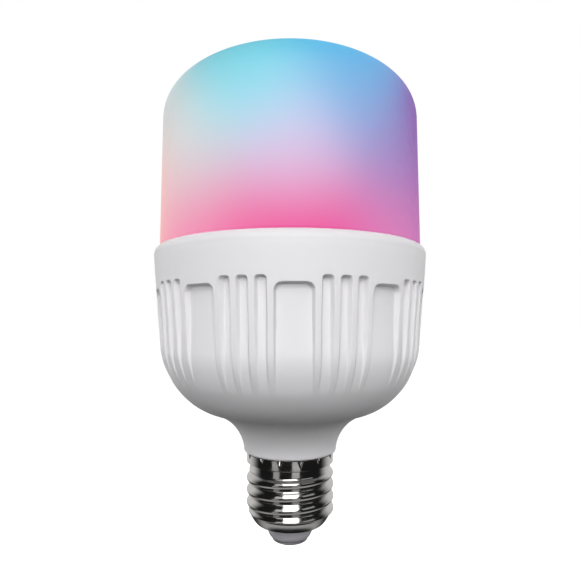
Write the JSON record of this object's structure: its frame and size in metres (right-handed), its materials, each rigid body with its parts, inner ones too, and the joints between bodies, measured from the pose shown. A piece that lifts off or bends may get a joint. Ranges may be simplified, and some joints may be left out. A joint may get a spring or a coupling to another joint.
{
  "type": "smart light bulb",
  "caption": "LED lamp with a tall opal diffuser that glows in blended colours, a white ribbed housing that narrows to a neck, and a screw cap.",
  "frame": {"origin": "middle of the centre contact's flat tip, the lamp's lowest point with the cap down", "axes": "+Z along the lamp's axis from the cap to the top of the diffuser; -Y towards the front, the side that the picture shows; +X to the viewer's right"},
  "size_m": [0.08, 0.08, 0.1412],
  "materials": {
    "opal_diffuser": "opal, satin, lit with a colour gradient",
    "silicone_seal": "matt",
    "white_housing": "satin moulded",
    "nickel_shell": "bright nickel plate",
    "tinned_contact": "tinned, satin",
    "grey_insulator": "moulded, satin",
    "black_moulding": "moulded",
    "sink_aluminium": "pressed, mill finish",
    "thermal_silicone": "matt",
    "led_board_mask": "white solder mask on aluminium",
    "white_socket": "moulded",
    "zinc_screw": "zinc plated",
    "warm_phosphor": "phosphor gel",
    "cool_phosphor": "phosphor gel",
    "clear_epoxy": "white package, clear gel",
    "driver_laminate": "green solder mask",
    "radio_laminate": "blue solder mask",
    "capacitor_sleeve": "shrink sleeve",
    "film_yellow": "moulded case",
    "ferrite": "sintered",
    "winding_tape": "polyester tape",
    "blue_lacquer": "dipped",
    "green_lacquer": "dipped",
    "black_epoxy": "moulded package",
    "gold_pins": "plated",
    "brown_sleeve": "wire sleeve",
    "blue_sleeve": "wire sleeve"
  },
  "bodies": {
    "root": {"diffuser_dome": "opal_diffuser", "diffuser_seal_ring": "silicone_seal", "housing_shell": "white_housing", "screw_shell": "nickel_shell", "cap_insulator": "grey_insulator", "centre_contact": "tinned_contact", "heat_sink_cup": "sink_aluminium", "thermal_pad": "thermal_silicone", "led_board": "led_board_mask", "led_socket": "white_socket", "driver_board": "driver_laminate", "bulk_capacitor": "capacitor_sleeve", "output_capacitor": "capacitor_sleeve", "film_capacitor": "film_yellow", "transformer_core": "ferrite", "transformer_winding": "winding_tape", "emi_choke": "ferrite", "varistor": "blue_lacquer", "fuse_resistor": "green_lacquer", "bridge_rectifier": "black_epoxy", "driver_chip": "black_epoxy", "led_header": "gold_pins", "radio_board": "radio_laminate", "radio_shield": "zinc_screw", "radio_antenna": "gold_pins", "radio_header": "black_moulding", "live_wire": "brown_sleeve", "neutral_wire": "blue_sleeve", "board_screw_01": "zinc_screw", "board_screw_02": "zinc_screw", "board_screw_03": "zinc_screw", "led_warm_01": "warm_phosphor", "led_cool_01": "cool_phosphor", "led_warm_02": "warm_phosphor", "led_cool_02": "cool_phosphor", "led_warm_03": "warm_phosphor", "led_cool_03": "cool_phosphor", "led_warm_04": "warm_phosphor", "led_cool_04": "cool_phosphor", "led_warm_05": "warm_phosphor", "led_cool_05": "cool_phosphor", "led_warm_06": "warm_phosphor", "led_cool_06": "cool_phosphor", "led_warm_07": "warm_phosphor", "led_cool_07": "cool_phosphor", "led_warm_08": "warm_phosphor", "led_cool_08": "cool_phosphor", "led_warm_09": "warm_phosphor", "led_cool_09": "cool_phosphor", "led_warm_10": "warm_phosphor", "led_cool_10": "cool_phosphor", "led_rgb_01": "clear_epoxy", "led_rgb_02": "clear_epoxy", "led_rgb_03": "clear_epoxy", "led_rgb_04": "clear_epoxy", "led_rgb_05": "clear_epoxy", "led_rgb_06": "clear_epoxy", "led_rgb_07": "clear_epoxy", "led_rgb_08": "clear_epoxy"}
  },
  "joints": []
}
